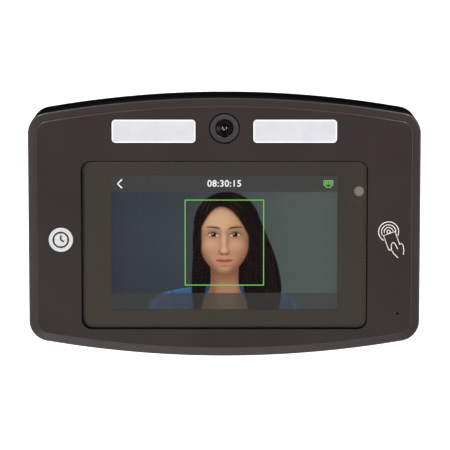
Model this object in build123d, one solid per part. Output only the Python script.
"""Wall-mounted face and card recognition terminal, built as it comes apart on a bench.

Frame: +X to the viewer's right, +Z up, and -Y out of the wall towards the viewer. The origin is the
middle of the wall plate's back face, so the wall is the plane y = 0. All sizes are in millimetres.
"""

import math
import os

from build123d import *

# ---------------------------------------------------------------- driving dimensions
WIDTH = 187.4  # across the straight sides
HEIGHT = 124.9  # over the crowns of the arched top and bottom edges
SHELL_Z = -0.4  # middle of the shells, a little below the middle of the wall plate
ARC_R = 500.0  # radius of the arched top and bottom edges
CORNER_R = 10.0
DEPTH = 37.5  # from the wall to the front face
WALL = 2.2  # side walls of both shells
FACE_T = 2.5  # front wall of the bezel
GAP = 0.2  # clearance round a socket in its opening
SHOW_GAP = 0.3  # shadow gap round each part set in the face

# y of the main planes, from the viewer back to the wall
FRONT_Y = -DEPTH
FACE_STEP = 0.6  # the middle of the face stands this far above its border
BORDER_FALL = 0.9  # the border slopes down by this towards the edge
BORDER_W = 3.9
BORDER_Y = FRONT_Y + FACE_STEP
EDGE_Y = BORDER_Y + BORDER_FALL
FACE_BACK_Y = FRONT_Y + FACE_T
RIDGE_Y = -33.4  # back of the thickened frame round the display opening
SEAM_Y = -28.0  # where the two shells meet
BOSS_Y = -26.0  # where the screw posts of the two shells meet
BOARD_Y = -25.0  # rear face of the main board
BOARD_T = 1.6
BAY_FLOOR_Y = -23.7
BAY_SHEET = 1.2
POCKET_Y = -3.4  # floor of the pocket that takes the wall plate
POCKET_SHEET = 2.0
REAR_WALL = 2.4
REAR_Y = -0.8  # rear rim, just off the wall
REAR_INSET = 0.4  # the rear shell is this much smaller all round

# display and cover glass
GLASS_W, GLASS_H, GLASS_R = 136.4, 80.9, 4.5
GLASS_Z = -8.8
GLASS_T = 1.6
GLASS_Y = FRONT_Y + 0.15  # front face of the glass, just below the bezel
LEDGE_Y = GLASS_Y + 1.85  # ledge that the glass is stuck to
INK_Y = GLASS_Y + GLASS_T + 0.03  # front of the border printed behind the glass
INK_T = 0.1
TAPE_T = 0.12
ACTIVE_W, ACTIVE_H, ACTIVE_Z = 108.0, 64.8, -7.8
MODULE_W, MODULE_H, MODULE_Z = 120.7, 75.9, -8.7
MODULE_FRONT_Y = -35.1
MODULE_BACK_Y = -32.3
OPENING_W, OPENING_H, OPENING_Z = 122.0, 77.4, -8.8

# features of the face
LIGHT_W, LIGHT_H, LIGHT_R = 39.9, 11.1, 1.8
LIGHT_X, LIGHT_Z = 33.7, 46.1
LIGHT_GAP = 0.4
LIGHT_LIP_W, LIGHT_LIP_H, LIGHT_LIP_T = 42.2, 15.0, 0.9
LIGHT_BOARD_Y = -31.5
LIGHT_POST_X, LIGHT_POST_Z = 17.5, 36.6  # posts under the light boards, x from each light's middle
LED_COUNT, LED_PITCH = 7, 5.2
CAMERA_Z = 47.5
CAMERA_RING_R = 6.9
CAMERA_FLANGE_R = 7.9
CAMERA_GAP = 0.55
BARREL_R = 4.1
BARREL_BACK_Y = -26.4
CAMERA_POST = 9.9  # from the lens axis to each screw post
CAMERA_BOARD_Y = -24.0  # front face of the camera's own board
CAMERA_BOARD_T = 1.2
BADGE_X, BADGE_Z, BADGE_R = -78.2, -6.1, 5.8
BADGE_RIM, BADGE_PROUD, BADGE_DISH = 0.55, 0.12, 0.06
SENSOR_X, SENSOR_Z, SENSOR_R = 64.3, 17.1, 2.4
MIC_X, MIC_Z, MIC_HOLE_R = 83.0, -41.9, 0.55
MIC_BACK_Y, MIC_FRONT_Y, MIC_R = -31.8, -34.2, 3.0

# fixings
HOUSING_SCREWS = [(s * x, z) for x, z in ((60.0, 51.8), (85.5, 22.0), (76.0, -49.0)) for s in (-1, 1)]
EAR_SCREWS = [(s * 66.0, z) for z in (5.0, -40.0) for s in (-1, 1)]
STANDOFFS = [(s * 56.0, z) for z in (31.0, -39.0) for s in (-1, 1)]
SCREW_R = 1.45
INSERT_R = 2.2
INSERT_BORE = 1.5
SCREW_SEAT_Y = -14.0  # where the housing screws' heads bear

# wall plate
PLATE_T = 1.5
PLATE_W, PLATE_LOW, PLATE_HIGH = 128.0, -45.0, 47.0
POCKET_W, POCKET_LOW, POCKET_HIGH = 131.0, -54.5, 48.0
LIFT = 9.0  # how far the terminal rises to leave its hooks
WALL_HOLE_X, WALL_HOLE_Z, WALL_HOLE_R = 55.0, 38.0, 2.3
BOX_HOLE_Z, BOX_HOLE_PITCH, BOX_HOLE_R = 1.0, 83.3, 2.0
HOOK_X, HOOK_W, HOOK_ZS = 52.0, 10.0, (24.0, -20.0)
HOOK_REACH, HOOK_RISE = 8.4, 7.0
TAB_Z = -58.6  # underside of the tab that takes the locking screw
TAB_REACH = 11.0
LOCK_Y = -6.5

# cable bay
BAY_W, BAY_LOW, BAY_HIGH = 84.0, -48.0, -18.0
BAY_WALL = 1.8
CABLE_SLOT_W, CABLE_SLOT_LOW, CABLE_SLOT_HIGH = 76.0, -38.0, -20.0

# speaker against the underside, and card antenna behind the right border
SPEAKER_X, SPEAKER_Y, SPEAKER_FACE_Z = -57.0, -15.25, -54.2
SPEAKER_W, SPEAKER_D, SPEAKER_H = 24.0, 14.5, 6.6
CONE_W, CONE_D, CONE_Z = 20.0, 10.9, -53.0
SPEAKER_SLOTS, SPEAKER_PITCH = 7, 3.0
ANTENNA_X, ANTENNA_W = 82.0, 16.4
ANTENNA_LOW, ANTENNA_HIGH = -24.0, 13.0
ANTENNA_BACK_Y = FACE_BACK_Y + 1.0
ANTENNA_TURNS, ANTENNA_PITCH = 4, 1.8

# sockets and controls on the main board: sides in x, and reach from the board towards the wall in y
ETHERNET_X, ETHERNET_YS = (-14.0, 2.0), (BOARD_Y, -11.5)
POWER_X, POWER_YS = (-33.0, -24.0), (BOARD_Y, -14.0)
USB_X, USB_YS = (8.0, 21.2), (BOARD_Y, -18.4)
TERMINAL_X, TERMINAL_ZS = (25.0, 40.6), (-29.0, -19.0)
TERMINAL_WAYS, TERMINAL_PITCH, TERMINAL_SCREW_Z = 4, 3.8, -22.8
RESET_X, RESET_Z, RESET_R = -30.0, -36.0, 1.7
RESET_TOP_Y = -20.4


# ---------------------------------------------------------------- helpers
def at(y):
    """Sketch plane facing the viewer at depth y, with the sketch's x and y along X and Z."""
    return Plane(origin=(0, y, 0), x_dir=(1, 0, 0), z_dir=(0, -1, 0))


def slab(sketch, back, front):
    """Sketch in X and Z, as a solid from y = back out to y = front."""
    return extrude(at(back) * sketch, amount=back - front)


def block(x0, x1, y0, y1, z0, z1):
    middle = Pos((x0 + x1) / 2, (y0 + y1) / 2, (z0 + z1) / 2)
    return middle * Box(abs(x1 - x0), abs(y1 - y0), abs(z1 - z0))


def disc(x, z, radius, back, front):
    return slab(Pos(x, z) * Circle(radius), back, front)


def ring(x, z, outer, inner, back, front):
    return disc(x, z, outer, back, front) - disc(x, z, inner, back, front)


def panel(width, height, x, z, radius, back, front):
    """Rectangle with round corners, centred on x and z."""
    return slab(Pos(x, z) * RectangleRounded(width, height, radius), back, front)


def upright(x, y, radius, low, high):
    """Cylinder along Z."""
    return Pos(x, y, (low + high) / 2) * Cylinder(radius, high - low)


def group(solids):
    return Compound(children=list(solids))


def outline(inset=0.0):
    """Face outline moved inwards: straight sides, arched top and bottom, round corners."""
    half = WIDTH / 2 - inset
    crown = HEIGHT / 2 - inset
    shoulder = math.sqrt((ARC_R - inset) ** 2 - half**2) - (ARC_R - HEIGHT / 2)
    face = make_face(
        [
            ThreePointArc((-half, shoulder), (0, crown), (half, shoulder)),
            Line((half, shoulder), (half, -shoulder)),
            ThreePointArc((half, -shoulder), (0, -crown), (-half, -shoulder)),
            Line((-half, -shoulder), (-half, shoulder)),
        ]
    )
    return Pos(0, SHELL_Z) * fillet(face.vertices(), CORNER_R - inset)


def edges_at_y(solid, y):
    def lies_there(edge):
        box = edge.bounding_box()
        return max(abs(box.min.Y - y), abs(box.max.Y - y)) < 1e-3

    return solid.edges().filter_by(lies_there)


def lead(points, diameter):
    """Insulated wire along its route, with arcs as large as its runs allow."""
    corners = [Vector(*p) for p in points]
    radii = []
    for before, here, after in zip(corners, corners[1:], corners[2:]):
        turn = math.radians((here - before).get_angle(after - here))
        shorter = min((here - before).length, (after - here).length)
        radii.append(0.45 * shorter / math.tan(turn / 2))
    path = FilletPolyline(*points, radius=radii)
    start = Plane(origin=path @ 0, z_dir=path % 0)
    return sweep(start * Circle(diameter / 2), path=path)


# ---------------------------------------------------------------- shells
def front_bezel():
    raised = slab(outline(BORDER_W), BORDER_Y, FRONT_Y)
    raised = fillet(edges_at_y(raised, FRONT_Y), 0.5)
    body = slab(outline(), SEAM_Y, EDGE_Y)
    body += loft([at(EDGE_Y) * outline(), at(BORDER_Y) * outline(BORDER_W)])
    body = fillet(edges_at_y(body, EDGE_Y), 0.9)
    body += raised
    body -= slab(outline(WALL), SEAM_Y, FACE_BACK_Y)

    body += panel(146, 88, 0, GLASS_Z, 6, RIDGE_Y, FACE_BACK_Y - 0.2)
    for x, z in HOUSING_SCREWS:
        body += disc(x, z, 3.5, BOSS_Y, FACE_BACK_Y - 0.2)
    for x, z in EAR_SCREWS:
        body += disc(x, z, 2.6, MODULE_BACK_Y, RIDGE_Y - 0.2)
    for z in (CAMERA_Z + CAMERA_POST, CAMERA_Z - CAMERA_POST):
        body += disc(0, z, 2.0, CAMERA_BOARD_Y, FACE_BACK_Y - 0.2)
    for x in (-LIGHT_X, LIGHT_X):
        for side in (-1, 1):
            body += disc(x + side * LIGHT_POST_X, LIGHT_POST_Z, 1.9, LIGHT_BOARD_Y, FACE_BACK_Y - 0.2)
    body += ring(MIC_X, MIC_Z, 4.6, 3.7, -32.0, FACE_BACK_Y - 0.2)

    # recess for the glass, its opening, and the rebate that takes the rear shell's lip
    recess = GLASS_W + 2 * SHOW_GAP, GLASS_H + 2 * SHOW_GAP
    body -= panel(*recess, 0, GLASS_Z, GLASS_R + SHOW_GAP, LEDGE_Y, FRONT_Y - 1)
    body -= panel(OPENING_W, OPENING_H, 0, OPENING_Z, 1.0, RIDGE_Y + 1, -36)
    body -= slab(outline(1.2), SEAM_Y, SEAM_Y - 2.2) - slab(outline(WALL + 0.6), SEAM_Y, SEAM_Y - 2.2)
    for x in (-LIGHT_X, LIGHT_X):
        window = LIGHT_W + 2 * LIGHT_GAP, LIGHT_H + 2 * LIGHT_GAP
        body -= panel(*window, x, LIGHT_Z, LIGHT_R + LIGHT_GAP, FACE_BACK_Y + 1, FRONT_Y - 1)
    body -= disc(0, CAMERA_Z, CAMERA_RING_R + CAMERA_GAP, FACE_BACK_Y + 1, FRONT_Y - 1)
    body -= disc(BADGE_X, BADGE_Z, BADGE_R + SHOW_GAP, FRONT_Y + 0.8, FRONT_Y - 1)
    body -= disc(SENSOR_X, SENSOR_Z, SENSOR_R + 0.05, RIDGE_Y + 1, -36)
    body -= disc(MIC_X, MIC_Z, MIC_HOLE_R, FACE_BACK_Y + 1, FRONT_Y - 1)
    for x, z in HOUSING_SCREWS:
        body -= disc(x, z, INSERT_R, BOSS_Y, -33.5)
    for x, z in EAR_SCREWS:
        body -= disc(x, z, 1.2, MODULE_BACK_Y, -34.6)
    return body


def rear_housing():
    inner = REAR_INSET + WALL
    body = slab(outline(REAR_INSET), SEAM_Y, REAR_Y)
    body = fillet(edges_at_y(body, REAR_Y), 3.0)
    body -= slab(outline(inner), SEAM_Y, REAR_Y - REAR_WALL)
    body += slab(outline(1.35), SEAM_Y, SEAM_Y - 1.4) - slab(outline(inner), SEAM_Y, SEAM_Y - 1.4)

    # material added inside before the pockets are cut
    floor_y = POCKET_Y - POCKET_SHEET
    pocket_mid = (POCKET_LOW + POCKET_HIGH) / 2
    pocket_h = POCKET_HIGH - POCKET_LOW
    bay_mid, bay_h = (BAY_LOW + BAY_HIGH) / 2, BAY_HIGH - BAY_LOW
    within = slab(outline(REAR_INSET + 0.5), SEAM_Y, REAR_Y - 1)
    added = panel(POCKET_W + 4, pocket_h + 4, 0, pocket_mid, 8, REAR_Y - 1, floor_y)
    bay = BAY_W + 2 * BAY_WALL, bay_h + 2 * BAY_WALL
    added += panel(*bay, 0, bay_mid, 3, REAR_Y - 1, BAY_FLOOR_Y - BAY_SHEET)
    added += block(-11.5, 11.5, -14.5, REAR_Y - 1, -62, BAY_LOW - 1)
    for x, z in HOUSING_SCREWS:
        added += disc(x, z, 4.2, REAR_Y - 1, BOSS_Y)
    body += added & within

    # pocket for the wall plate, cable bay, and the notch over the locking tab
    body -= panel(POCKET_W, pocket_h, 0, pocket_mid, 6, REAR_Y + 1, POCKET_Y)
    body -= panel(BAY_W, bay_h, 0, bay_mid, 2, REAR_Y + 1, BAY_FLOOR_Y)
    body -= block(-9, 9, POCKET_Y, REAR_Y + 1, -64, POCKET_LOW + 3)
    body -= block(-9, 9, -12.2, REAR_Y + 1, -64, TAB_Z + PLATE_T + 0.3)
    body -= upright(0, LOCK_Y, 2.3, TAB_Z + PLATE_T, BAY_LOW - 2.6)
    for x in (-HOOK_X, HOOK_X):
        for z in HOOK_ZS:
            body -= block(x - 5.4, x + 5.4, floor_y - 1, POCKET_Y + 1, z - LIFT - 0.5, z + PLATE_T + 0.1)
    for x, z in HOUSING_SCREWS:
        body -= disc(x, z, 3.0, REAR_Y + 1, SCREW_SEAT_Y)
        body -= disc(x, z, 1.7, SCREW_SEAT_Y + 1, BOSS_Y - 1)

    # ports through the bay's ceiling, then gaps in its floor for the terminal block and reset switch
    for (x0, x1), (y0, y1) in ((ETHERNET_X, ETHERNET_YS), (POWER_X, POWER_YS), (USB_X, USB_YS)):
        body -= block(x0 - GAP, x1 + GAP, y0 - GAP, y1 + GAP, BAY_HIGH - 1, BAY_HIGH + BAY_WALL + 1)
    through = BAY_FLOOR_Y - BAY_SHEET - 1.1, BAY_FLOOR_Y + 1
    body -= block(TERMINAL_X[0] - GAP, TERMINAL_X[1] + GAP, *through, TERMINAL_ZS[0] - 2 * GAP, BAY_HIGH)
    body -= block(RESET_X - 3.2, RESET_X + 3.2, *through, RESET_Z - 3.2, RESET_Z + 3.2)

    # speaker slots in the underside and cooling slots in the back
    slot_ys = SPEAKER_Y - 6.0, SPEAKER_Y + 6.0
    for i in range(SPEAKER_SLOTS):
        x = SPEAKER_X + (i - (SPEAKER_SLOTS - 1) / 2) * SPEAKER_PITCH
        body -= block(x - 0.6, x + 0.6, *slot_ys, -HEIGHT / 2 - 1, SPEAKER_FACE_Z + 0.2)
    for side in (-1, 1):
        for i in range(6):
            z = -26 + i * 6.0
            body -= slab(Pos(side * 78.5, z) * SlotOverall(12, 1.6), REAR_Y + 1, -5)
    return body


def housing_seal():
    """Foam cord squeezed between the rear shell's lip and the bezel's rebate."""
    back, front = SEAM_Y - 1.4, SEAM_Y - 2.2
    return slab(outline(1.35), back, front) - slab(outline(WALL - 0.05), back, front)


def housing_screws():
    """Pan head screws that go in from the back, down deep counterbores."""
    made = []
    for x, z in HOUSING_SCREWS:
        head = disc(x, z, 2.7, SCREW_SEAT_Y + 2.1, SCREW_SEAT_Y)
        head -= disc(x, z, 0.9, SCREW_SEAT_Y + 2.1, SCREW_SEAT_Y + 0.8)
        made.append(head + disc(x, z, SCREW_R, SCREW_SEAT_Y + 0.1, -31.0))
    return group(made)


def bezel_inserts():
    return group(ring(x, z, INSERT_R, INSERT_BORE, BOSS_Y - 0.2, -32.0) for x, z in HOUSING_SCREWS)


def badge():
    """Round badge in the bezel's left border, dished inside a narrow rim."""
    front = FRONT_Y - BADGE_PROUD
    made = disc(BADGE_X, BADGE_Z, BADGE_R, FRONT_Y + 0.8, front)
    made = chamfer(edges_at_y(made, front), 0.15)
    return made - disc(BADGE_X, BADGE_Z, BADGE_R - BADGE_RIM, front + BADGE_DISH, front - 1)


# ---------------------------------------------------------------- display stack
def cover_glass():
    made = panel(GLASS_W, GLASS_H, 0, GLASS_Z, GLASS_R, GLASS_Y + GLASS_T, GLASS_Y)
    return chamfer(edges_at_y(made, GLASS_Y), 0.2)


def glass_ink():
    """Opaque border printed behind the glass, clear over the picture and the presence sensor."""
    back, front = INK_Y + INK_T, INK_Y
    made = panel(GLASS_W - 0.6, GLASS_H - 0.6, 0, GLASS_Z, GLASS_R - 0.3, back, front)
    made -= slab(Pos(0, ACTIVE_Z) * Rectangle(ACTIVE_W, ACTIVE_H), back, front)
    return made - disc(SENSOR_X, SENSOR_Z, SENSOR_R, back, front)


def glass_tape():
    """Adhesive frame that holds the glass on the ledge."""
    back, front = INK_Y + INK_T + TAPE_T, INK_Y + INK_T
    made = panel(GLASS_W - 0.6, GLASS_H - 0.6, 0, GLASS_Z, GLASS_R - 0.3, back, front)
    made -= panel(OPENING_W + 0.4, OPENING_H + 0.4, 0, OPENING_Z, 1.2, back, front)
    return made - disc(SENSOR_X, SENSOR_Z, SENSOR_R + 0.3, back, front)


def lcd_panel():
    return slab(Pos(0, MODULE_Z) * Rectangle(116.6, 71.8), MODULE_FRONT_Y + 1.3, MODULE_FRONT_Y)


def lcd_backlight():
    """Tray with the light guide: the panel drops into it."""
    made = panel(MODULE_W, MODULE_H, 0, MODULE_Z, 0.8, MODULE_BACK_Y, MODULE_FRONT_Y)
    return made - slab(Pos(0, MODULE_Z) * Rectangle(117, 72.2), MODULE_FRONT_Y + 1.3, MODULE_FRONT_Y)


def lcd_bracket():
    """Pressed steel bracket behind the display, which also carries the main board."""
    made = panel(124, 74, 0, -8, 2, MODULE_BACK_Y + 0.8, MODULE_BACK_Y)
    for z in {z for _, z in EAR_SCREWS}:
        made += panel(140, 9, 0, z, 3, MODULE_BACK_Y + 0.8, MODULE_BACK_Y)
    made += panel(124, 8, 0, 30, 2, MODULE_BACK_Y + 0.8, MODULE_BACK_Y)
    made -= panel(86, 34, 0, -14, 4, MODULE_BACK_Y + 1, MODULE_BACK_Y - 1)
    for x, z in EAR_SCREWS:
        made -= disc(x, z, 1.4, MODULE_BACK_Y + 1, MODULE_BACK_Y - 1)
    return made


def lcd_screws():
    made = []
    for x, z in EAR_SCREWS:
        head = disc(x, z, 2.2, -30.2, MODULE_BACK_Y + 0.8) - disc(x, z, 0.7, -30.2, -30.9)
        made.append(head + disc(x, z, 1.15, -31.4, -34.4))
    return group(made)


def lcd_ribbon():
    """Flat cable from the display's lower edge, round the bracket to the main board's front."""
    path = FilletPolyline((-32.2, -45.7), (-31.9, -49.2), (-27.2, -49.2), (-27.2, -41.2), radius=1.6)
    strip = Plane.YZ.offset(-14) * trace(path, 0.2)
    return extrude(strip, amount=28)


# ---------------------------------------------------------------- camera
def camera_ring():
    """Trim ring round the lens: slightly dished, with a bevel down to the barrel."""
    bore, back = BARREL_R + 0.15, FACE_BACK_Y + 0.9
    profile = [(bore, FRONT_Y + 0.95), (bore + 0.45, FRONT_Y + 0.4), (CAMERA_RING_R - 0.3, FRONT_Y + 0.15)]
    profile += [(CAMERA_RING_R, FRONT_Y + 0.45), (CAMERA_RING_R, FACE_BACK_Y)]
    profile += [(CAMERA_FLANGE_R, FACE_BACK_Y), (CAMERA_FLANGE_R, back), (5.2, back), (bore, FACE_BACK_Y)]
    section = make_face(Polyline(*profile, close=True))
    return Pos(0, 0, CAMERA_Z) * revolve(section, Axis.Y)


def camera_barrel():
    """Threaded lens barrel with a conical mouth down to the front element."""
    y = FRONT_Y + 0.6
    profile = [(0, y + 2.0), (1.7, y + 2.0), (1.7, y + 1.3), (3.5, y + 0.2), (3.8, y), (BARREL_R, y + 0.25)]
    profile += [(BARREL_R, BARREL_BACK_Y), (0, BARREL_BACK_Y)]
    section = make_face(Polyline(*profile, close=True))
    return Pos(0, 0, CAMERA_Z) * revolve(section, Axis.Y)


def camera_lens():
    """Domed front element."""
    base = FRONT_Y + 2.6
    section = make_face(
        [
            ThreePointArc((0, base - 1.1), (0.95, base - 0.9), (1.6, base - 0.35)),
            Polyline((1.6, base - 0.35), (1.6, base), (0, base), (0, base - 1.1)),
        ]
    )
    return Pos(0, 0, CAMERA_Z) * revolve(section, Axis.Y)


def camera_holder():
    """Square mount on the camera board, with the barrel screwed into it."""
    made = panel(13.6, 13.6, 0, CAMERA_Z, 1.2, CAMERA_BOARD_Y, -27.0)
    made += disc(0, CAMERA_Z, 5.6, -26.9, -31.0)
    made -= disc(0, CAMERA_Z, BARREL_R + 0.02, BARREL_BACK_Y, -31.5)
    return made - slab(Pos(0, CAMERA_Z) * Rectangle(10, 10), CAMERA_BOARD_Y + 0.5, BARREL_BACK_Y)


def camera_board():
    back = CAMERA_BOARD_Y + CAMERA_BOARD_T
    made = panel(14.5, 23, 0, CAMERA_Z, 1, back, CAMERA_BOARD_Y)
    for z in (CAMERA_Z + CAMERA_POST, CAMERA_Z - CAMERA_POST):
        made -= disc(0, z, 0.9, back + 1, CAMERA_BOARD_Y - 1)
    return made


def image_sensor():
    return slab(Pos(0, CAMERA_Z) * Rectangle(7.2, 6.4), CAMERA_BOARD_Y, CAMERA_BOARD_Y - 0.9)


def camera_ribbon():
    """Flat cable from the camera board's back down to the main board's back."""
    path = FilletPolyline((-22.7, 44.0), (-22.7, 34.8), (-24.5, 32.8), (-24.5, 28.2), radius=1.5)
    strip = Plane.YZ.offset(-4) * trace(path, 0.2)
    return extrude(strip, amount=8)


# ---------------------------------------------------------------- fill lights
def light_cover(x):
    """Frosted cover: a plug that fills the window, with a lip behind the bezel."""
    made = panel(LIGHT_W, LIGHT_H, x, LIGHT_Z, LIGHT_R, FACE_BACK_Y, FRONT_Y + 0.1)
    made = fillet(edges_at_y(made, FRONT_Y + 0.1), 0.45)
    return made + panel(LIGHT_LIP_W, LIGHT_LIP_H, x, LIGHT_Z, 1.2, FACE_BACK_Y + LIGHT_LIP_T, FACE_BACK_Y)


def light_reflectors():
    """Open white trays that carry the light from the LEDs to the covers."""
    made = []
    for x in (-LIGHT_X, LIGHT_X):
        depth = LIGHT_BOARD_Y, FACE_BACK_Y + LIGHT_LIP_T
        made.append(panel(41.4, 14.6, x, LIGHT_Z, 1.2, *depth) - panel(38.6, 11.4, x, LIGHT_Z, 1.2, *depth))
    return group(made)


def light_boards():
    made = []
    for x in (-LIGHT_X, LIGHT_X):
        board = panel(41.4, 19.5, x, LIGHT_Z - 2.25, 1, LIGHT_BOARD_Y + 1.2, LIGHT_BOARD_Y)
        for side in (-1, 1):
            board -= disc(x + side * LIGHT_POST_X, LIGHT_POST_Z, 1.0, LIGHT_BOARD_Y + 2, LIGHT_BOARD_Y - 1)
        made.append(board)
    return group(made)


def light_leds():
    """A row of white LED packages on each light board."""
    made = []
    for light_x in (-LIGHT_X, LIGHT_X):
        for i in range(LED_COUNT):
            x = light_x + (i - (LED_COUNT - 1) / 2) * LED_PITCH
            made.append(panel(3.5, 2.8, x, LIGHT_Z, 0.3, LIGHT_BOARD_Y, LIGHT_BOARD_Y - 0.8))
    return group(made)


# ---------------------------------------------------------------- sensors and sound
def sensor_window():
    return disc(SENSOR_X, SENSOR_Z, SENSOR_R, -34.7, -35.5)


def presence_sensor():
    return block(SENSOR_X - 1.6, SENSOR_X + 1.6, -34.2, -33.3, SENSOR_Z - 1.6, SENSOR_Z + 1.6)


def sensor_board():
    return block(61.7, 69.4, -33.3, -32.5, SENSOR_Z - 6, SENSOR_Z + 6)


def microphone():
    return disc(MIC_X, MIC_Z, MIC_R, MIC_BACK_Y, MIC_FRONT_Y)


def microphone_boot():
    made = disc(MIC_X, MIC_Z, MIC_R + 0.6, MIC_BACK_Y, FACE_BACK_Y)
    made -= disc(MIC_X, MIC_Z, MIC_R, MIC_BACK_Y, MIC_FRONT_Y)
    return made - disc(MIC_X, MIC_Z, 0.8, MIC_FRONT_Y, FACE_BACK_Y)


def speaker_box(width, depth, low, high):
    """Block centred on the speaker's axis."""
    return Pos(SPEAKER_X, SPEAKER_Y, (low + high) / 2) * Box(width, depth, high - low)


def speaker_frame():
    made = speaker_box(SPEAKER_W, SPEAKER_D, SPEAKER_FACE_Z, SPEAKER_FACE_Z + SPEAKER_H)
    made = fillet(made.edges().filter_by(Axis.Z), 2.5)
    return made - speaker_box(CONE_W, CONE_D, SPEAKER_FACE_Z, CONE_Z + 1.2)


def speaker_cone():
    made = speaker_box(CONE_W, CONE_D, CONE_Z, CONE_Z + 1.2)
    return made - Pos(SPEAKER_X, SPEAKER_Y, CONE_Z) * Sphere(0.9)


def speaker_gasket():
    """Foam frame between the speaker and the curved lower wall."""
    made = speaker_box(SPEAKER_W, SPEAKER_D, -HEIGHT / 2, SPEAKER_FACE_Z)
    made -= speaker_box(CONE_W + 0.8, CONE_D + 1.7, -HEIGHT / 2, SPEAKER_FACE_Z)
    return made & slab(outline(REAR_INSET + WALL), SEAM_Y, REAR_Y - REAR_WALL)


# ---------------------------------------------------------------- card reader
def card_antenna_board():
    middle, height = (ANTENNA_LOW + ANTENNA_HIGH) / 2, ANTENNA_HIGH - ANTENNA_LOW
    return panel(ANTENNA_W, height, ANTENNA_X, middle, 1.5, ANTENNA_BACK_Y, FACE_BACK_Y)


def card_antenna_coil():
    """Copper turns, one inside the next, round the antenna board."""
    middle, height = (ANTENNA_LOW + ANTENNA_HIGH) / 2, ANTENNA_HIGH - ANTENNA_LOW
    turns = []
    for i in range(ANTENNA_TURNS):
        width, tall = ANTENNA_W - 1.2 - ANTENNA_PITCH * i, height - 1.2 - ANTENNA_PITCH * i
        turn = RectangleRounded(width, tall, 1.5) - RectangleRounded(width - 1, tall - 1, 1.0)
        turns.append(slab(Pos(ANTENNA_X, middle) * turn, ANTENNA_BACK_Y + 0.1, ANTENNA_BACK_Y))
    return group(turns)


def antenna_lead():
    y = ANTENNA_BACK_Y + 0.65
    return lead([(78, y, -21), (77, y, -27), (70, -28, -30), (66.5, -23, -27), (61, -23, -27)], 1.1)


# ---------------------------------------------------------------- main board and its parts
def main_board():
    made = panel(124, 79, 0, -4.5, 2, BOARD_Y, BOARD_Y - BOARD_T)
    for x, z in STANDOFFS:
        made -= disc(x, z, 1.4, BOARD_Y + 1, BOARD_Y - BOARD_T - 1)
    return made


def board_standoffs():
    """Hexagonal brass standoffs between the bracket and the board."""
    made = []
    for x, z in STANDOFFS:
        post = slab(Pos(x, z) * RegularPolygon(2.6, 6), BOARD_Y - BOARD_T, MODULE_BACK_Y + 0.8)
        made.append(post - disc(x, z, 1.25, BOARD_Y - BOARD_T, -30.6))
    return group(made)


def board_screws():
    made = []
    for x, z in STANDOFFS:
        head = disc(x, z, 2.3, BOARD_Y + 1.5, BOARD_Y) - disc(x, z, 0.7, BOARD_Y + 1.5, BOARD_Y + 0.8)
        made.append(head + disc(x, z, 1.2, BOARD_Y + 0.1, -30.2))
    return group(made)


def processor_shield():
    """Pressed can over the processor, open towards the board."""
    made = panel(32, 26, 27, 14, 1, BOARD_Y + 2.4, BOARD_Y)
    return made - panel(31.4, 25.4, 27, 14, 0.7, BOARD_Y + 2.1, BOARD_Y)


def board_chips():
    """Processor, memory, flash and power chips: (x, z, width, height, thickness) on the rear face."""
    parts = [(23, 14, 14, 14, 1.2), (37, 19, 8, 10, 1.0), (37, 8, 8, 8, 1.0), (52, 12, 6, 6, 0.9)]
    parts += [(52, 0, 5, 6.5, 1.0), (-38, -4, 8, 5, 1.6), (-52, -8, 5, 5, 0.9), (52, -16, 6, 5, 1.2)]
    made = []
    for x, z, width, height, thickness in parts:
        made.append(slab(Pos(x, z) * Rectangle(width, height), BOARD_Y + thickness, BOARD_Y))
    return group(made)


def board_capacitors():
    """Can capacitors and coils beside the power inlet."""
    made = [disc(-40 - 7 * i, -13, 2.6, BOARD_Y + 5.0, BOARD_Y) for i in range(2)]
    made += [disc(46, -22 + 8 * i, 1.8, BOARD_Y + 2.4, BOARD_Y) for i in range(2)]
    made.append(panel(7, 7, -25.5, 0.5, 1.5, BOARD_Y + 3.2, BOARD_Y))
    return group(made)


def board_connectors():
    """Sockets for the flat cables and the leads."""
    front, back = BOARD_Y - BOARD_T, BOARD_Y
    display = block(-15.5, 15.5, front - 2.0, front, -42.6, -38.0)
    display -= block(-14.2, 14.2, front - 1.0, front - 0.2, -43, -39.5)
    camera = block(-5.2, 5.2, back, back + 1.4, 26.6, 31.4)
    camera -= block(-4.2, 4.2, back, back + 0.9, 27.8, 32)
    made = [display, camera]
    for x, z in ((58.0, -27.0), (-58.0, -26.0), (-58.5, 16.0)):
        made.append(block(x - 3.0, x + 3.0, back, back + 4.0, z - 2.2, z + 2.2))
    return group(made)


def ethernet_jack():
    """Shielded eight-way network socket: mouth down, with the latch slot towards the wall."""
    x0, x1 = ETHERNET_X
    middle = (x0 + x1) / 2
    made = block(x0, x1, *ETHERNET_YS, BAY_HIGH + 0.1, BAY_HIGH + 21)
    made -= block(middle - 5.9, middle + 5.9, -23.6, -15.4, BAY_HIGH, BAY_HIGH + 12)
    return made - block(middle - 3.2, middle + 3.2, -15.5, -13.2, BAY_HIGH, BAY_HIGH + 9)


def ethernet_contacts():
    """Eight sprung gold wires along the socket's front wall."""
    middle = (ETHERNET_X[0] + ETHERNET_X[1]) / 2
    spots = [middle + (i - 3.5) * 1.02 for i in range(8)]
    return group(block(s - 0.2, s + 0.2, -23.6, -23.0, BAY_HIGH + 3, BAY_HIGH + 11.9) for s in spots)


def power_jack():
    """Barrel socket with its centre pin."""
    middle = sum(POWER_X) / 2
    y = -19.2
    made = block(*POWER_X, *POWER_YS, BAY_HIGH + 0.1, BAY_HIGH + 14)
    made -= upright(middle, y, 3.1, BAY_HIGH, BAY_HIGH + 10)
    return made + upright(middle, y, 1.0, BAY_HIGH + 1.5, BAY_HIGH + 10.5)


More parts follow.
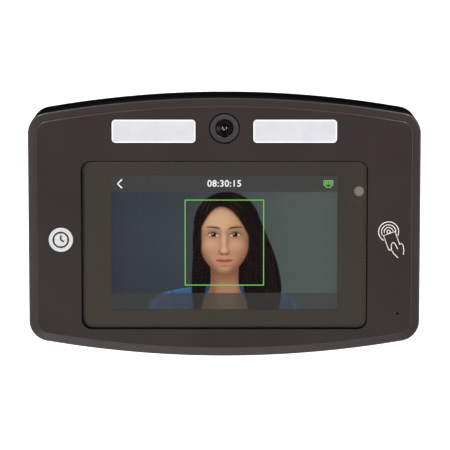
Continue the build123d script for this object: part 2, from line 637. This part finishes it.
def usb_jack():
    made = block(*USB_X, *USB_YS, BAY_HIGH + 0.1, BAY_HIGH + 14)
    x0, x1 = USB_X
    made -= block(x0 + 0.5, x1 - 0.5, -23.4, USB_YS[1] - 0.5, BAY_HIGH, BAY_HIGH + 12)
    return made + block(x0 + 1.2, x1 - 1.2, -22.9, -21.1, BAY_HIGH + 1, BAY_HIGH + 12.5)


def terminal_block():
    """Four-way screw terminal: wires enter from below and screws face the wall."""
    made = block(*TERMINAL_X, BOARD_Y, -14.5, *TERMINAL_ZS)
    made -= block(TERMINAL_X[0] - 1, TERMINAL_X[1] + 1, -16.5, -14, TERMINAL_ZS[0] - 1, -26.4)
    for i in range(TERMINAL_WAYS):
        x = TERMINAL_X[0] + 2.1 + TERMINAL_PITCH * i
        made -= block(x - 1.35, x + 1.35, -21.6, -18.2, TERMINAL_ZS[0] - 0.5, -22)
        made -= disc(x, TERMINAL_SCREW_Z, 1.5, -14, -17)
    return made


def terminal_screws():
    made = []
    for i in range(TERMINAL_WAYS):
        x = TERMINAL_X[0] + 2.1 + TERMINAL_PITCH * i
        screw = disc(x, TERMINAL_SCREW_Z, 1.4, -15.2, -17.0)
        slot = TERMINAL_SCREW_Z - 0.25, TERMINAL_SCREW_Z + 0.25
        made.append(screw - block(x - 1.5, x + 1.5, -15.6, -15, *slot))
    return group(made)


def backup_battery():
    """Flat rechargeable pack taped to the back of the board."""
    made = block(-54, -8, BOARD_Y + 1.9, BOARD_Y + 8.4, 6.0, 26.0)
    return fillet(made.edges(), 1.2)


def battery_tape():
    return block(-52, -10, BOARD_Y, BOARD_Y + 1.9, 9.0, 23.0)


def speaker_lead():
    return lead([(SPEAKER_X, -16, -47.6), (SPEAKER_X, -16, -40), (-58, -23, -36), (-58, -23, -28.2)], 1.3)


def battery_lead():
    return lead([(-54, -20, 22.5), (-58.5, -20, 22.5), (-58.5, -23, 21), (-58.5, -23, 18.2)], 1.3)


# ---------------------------------------------------------------- moving and wall-side parts
def reset_switch():
    made = block(RESET_X - 3, RESET_X + 3, BOARD_Y, BOARD_Y + 2.0, RESET_Z - 3, RESET_Z + 3)
    return made - disc(RESET_X, RESET_Z, RESET_R + 0.1, BOARD_Y + 2.5, BOARD_Y + 0.8)


def reset_button():
    made = disc(RESET_X, RESET_Z, RESET_R, RESET_TOP_Y, BOARD_Y + 1.5)
    return fillet(edges_at_y(made, RESET_TOP_Y), 0.4)


def wall_plate():
    """Folded steel plate: four hooks, a cable slot, wall holes and a tab for the locking screw."""
    height, middle = PLATE_HIGH - PLATE_LOW, (PLATE_HIGH + PLATE_LOW) / 2
    made = panel(PLATE_W, height, 0, middle, 5, 0, -PLATE_T)
    slot_h, slot_z = CABLE_SLOT_HIGH - CABLE_SLOT_LOW, (CABLE_SLOT_HIGH + CABLE_SLOT_LOW) / 2
    made -= panel(CABLE_SLOT_W, slot_h, 0, slot_z, 3, 1, -3)
    for x in (-WALL_HOLE_X, WALL_HOLE_X):
        for z in (-WALL_HOLE_Z, WALL_HOLE_Z):
            made -= disc(x, z, WALL_HOLE_R, 1, -3)
    for z in (BOX_HOLE_Z - BOX_HOLE_PITCH / 2, BOX_HOLE_Z + BOX_HOLE_PITCH / 2):
        made -= disc(0, z, BOX_HOLE_R, 1, -3)
    for x in (-HOOK_X, HOOK_X):
        for z in HOOK_ZS:
            made -= block(x - HOOK_W / 2, x + HOOK_W / 2, 1, -3, z - HOOK_REACH + PLATE_T, z)
            made += block(x - HOOK_W / 2, x + HOOK_W / 2, 0, -HOOK_REACH, z, z + PLATE_T)
            made += block(x - HOOK_W / 2, x + HOOK_W / 2, -HOOK_REACH, PLATE_T - HOOK_REACH, z, z + HOOK_RISE)
    made += block(-8, 8, 0, -PLATE_T, TAB_Z, PLATE_LOW + 1)
    made += block(-8, 8, 0, -TAB_REACH, TAB_Z, TAB_Z + PLATE_T)
    return made - upright(0, LOCK_Y, 1.8, TAB_Z - 1, TAB_Z + PLATE_T + 1)


def lock_insert():
    made = upright(0, LOCK_Y, 2.3, TAB_Z + PLATE_T + 0.4, BAY_LOW - 2.8)
    return made - upright(0, LOCK_Y, INSERT_BORE + 0.02, TAB_Z, BAY_LOW)


def lock_screw():
    """Security screw with a pin-hex socket, driven up through the tab."""
    head = upright(0, LOCK_Y, 2.8, TAB_Z - 2.0, TAB_Z)
    socket = Pos(0, LOCK_Y, TAB_Z - 2.0) * extrude(RegularPolygon(1.3, 6), amount=1.2)
    head = fillet(head.edges().group_by(Axis.Z)[0], 0.5) - socket
    head += upright(0, LOCK_Y, 0.4, TAB_Z - 1.7, TAB_Z - 0.5)
    return head + upright(0, LOCK_Y, SCREW_R, TAB_Z - 0.1, TAB_Z + 7.0)


PARTS = {
    "front_bezel": front_bezel,
    "rear_housing": rear_housing,
    "housing_seal": housing_seal,
    "housing_screws": housing_screws,
    "bezel_inserts": bezel_inserts,
    "badge": badge,
    "cover_glass": cover_glass,
    "glass_ink": glass_ink,
    "glass_tape": glass_tape,
    "lcd_panel": lcd_panel,
    "lcd_backlight": lcd_backlight,
    "lcd_bracket": lcd_bracket,
    "lcd_screws": lcd_screws,
    "lcd_ribbon": lcd_ribbon,
    "camera_ring": camera_ring,
    "camera_barrel": camera_barrel,
    "camera_lens": camera_lens,
    "camera_holder": camera_holder,
    "camera_board": camera_board,
    "image_sensor": image_sensor,
    "camera_ribbon": camera_ribbon,
    "left_light_cover": lambda: light_cover(-LIGHT_X),
    "right_light_cover": lambda: light_cover(LIGHT_X),
    "light_reflectors": light_reflectors,
    "light_boards": light_boards,
    "light_leds": light_leds,
    "sensor_window": sensor_window,
    "presence_sensor": presence_sensor,
    "sensor_board": sensor_board,
    "microphone": microphone,
    "microphone_boot": microphone_boot,
    "speaker_frame": speaker_frame,
    "speaker_cone": speaker_cone,
    "speaker_gasket": speaker_gasket,
    "speaker_lead": speaker_lead,
    "card_antenna_board": card_antenna_board,
    "card_antenna_coil": card_antenna_coil,
    "antenna_lead": antenna_lead,
    "main_board": main_board,
    "board_standoffs": board_standoffs,
    "board_screws": board_screws,
    "processor_shield": processor_shield,
    "board_chips": board_chips,
    "board_capacitors": board_capacitors,
    "board_connectors": board_connectors,
    "ethernet_jack": ethernet_jack,
    "ethernet_contacts": ethernet_contacts,
    "power_jack": power_jack,
    "usb_jack": usb_jack,
    "terminal_block": terminal_block,
    "terminal_screws": terminal_screws,
    "backup_battery": backup_battery,
    "battery_tape": battery_tape,
    "battery_lead": battery_lead,
    "reset_switch": reset_switch,
    "reset_button": reset_button,
    "wall_plate": wall_plate,
    "lock_insert": lock_insert,
    "lock_screw": lock_screw,
}


def main():
    os.makedirs("parts", exist_ok=True)
    for name, make in PARTS.items():
        export_step(make(), f"parts/{name}.step")


main()
